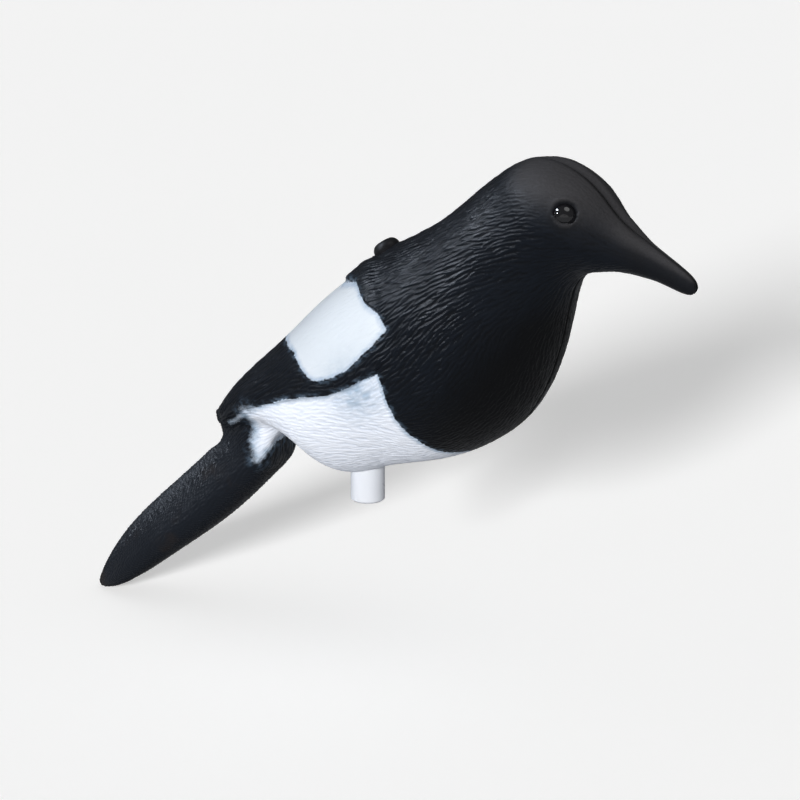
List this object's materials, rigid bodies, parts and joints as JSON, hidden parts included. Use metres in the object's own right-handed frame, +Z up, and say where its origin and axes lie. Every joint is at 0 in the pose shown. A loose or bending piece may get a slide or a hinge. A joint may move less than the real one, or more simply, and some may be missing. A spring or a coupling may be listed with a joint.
{
  "type": "magpie field decoy",
  "caption": "Full-body moulded magpie decoy in two hollow halves, with folded wings, set eyes and a back knob, turning freely on a stake spigot.",
  "frame": {"origin": "centre of the stake bore's mouth, at the lower end of the spigot", "axes": "+X is the bird's heading, +Y its left side, +Z up along the stake"},
  "size_m": [0.3885, 0.1042, 0.2931],
  "materials": {
    "black_body": "moulded feather relief, satin black paint with blue sheen and bluish-white shoulder and flank patches",
    "eye": "polished black",
    "knob_black": "satin black",
    "white_plastic": "smooth white, semi-gloss",
    "bearing_plastic": "natural acetal",
    "zinc_steel": "zinc plated",
    "spring_steel": "plain spring steel"
  },
  "bodies": {
    "spigot": {"stake_spigot": "white_plastic", "thrust_washer": "bearing_plastic", "retaining_washer": "zinc_steel", "retaining_screw": "zinc_steel"},
    "bird": {"right_half_shell": "black_body", "left_half_shell": "black_body", "right_eye": "eye", "left_eye": "eye", "right_eye_clip": "spring_steel", "left_eye_clip": "spring_steel", "spigot_bush": "bearing_plastic", "back_knob": "knob_black", "knob_washer": "zinc_steel", "knob_nut": "zinc_steel"}
  },
  "joints": [
    {"name": "stake_swivel", "type": "hinge", "parent": "spigot", "child": "bird", "pos_m": [0, 0, 0.0405], "axis": [0, 0, 1], "continuous": true}
  ]
}
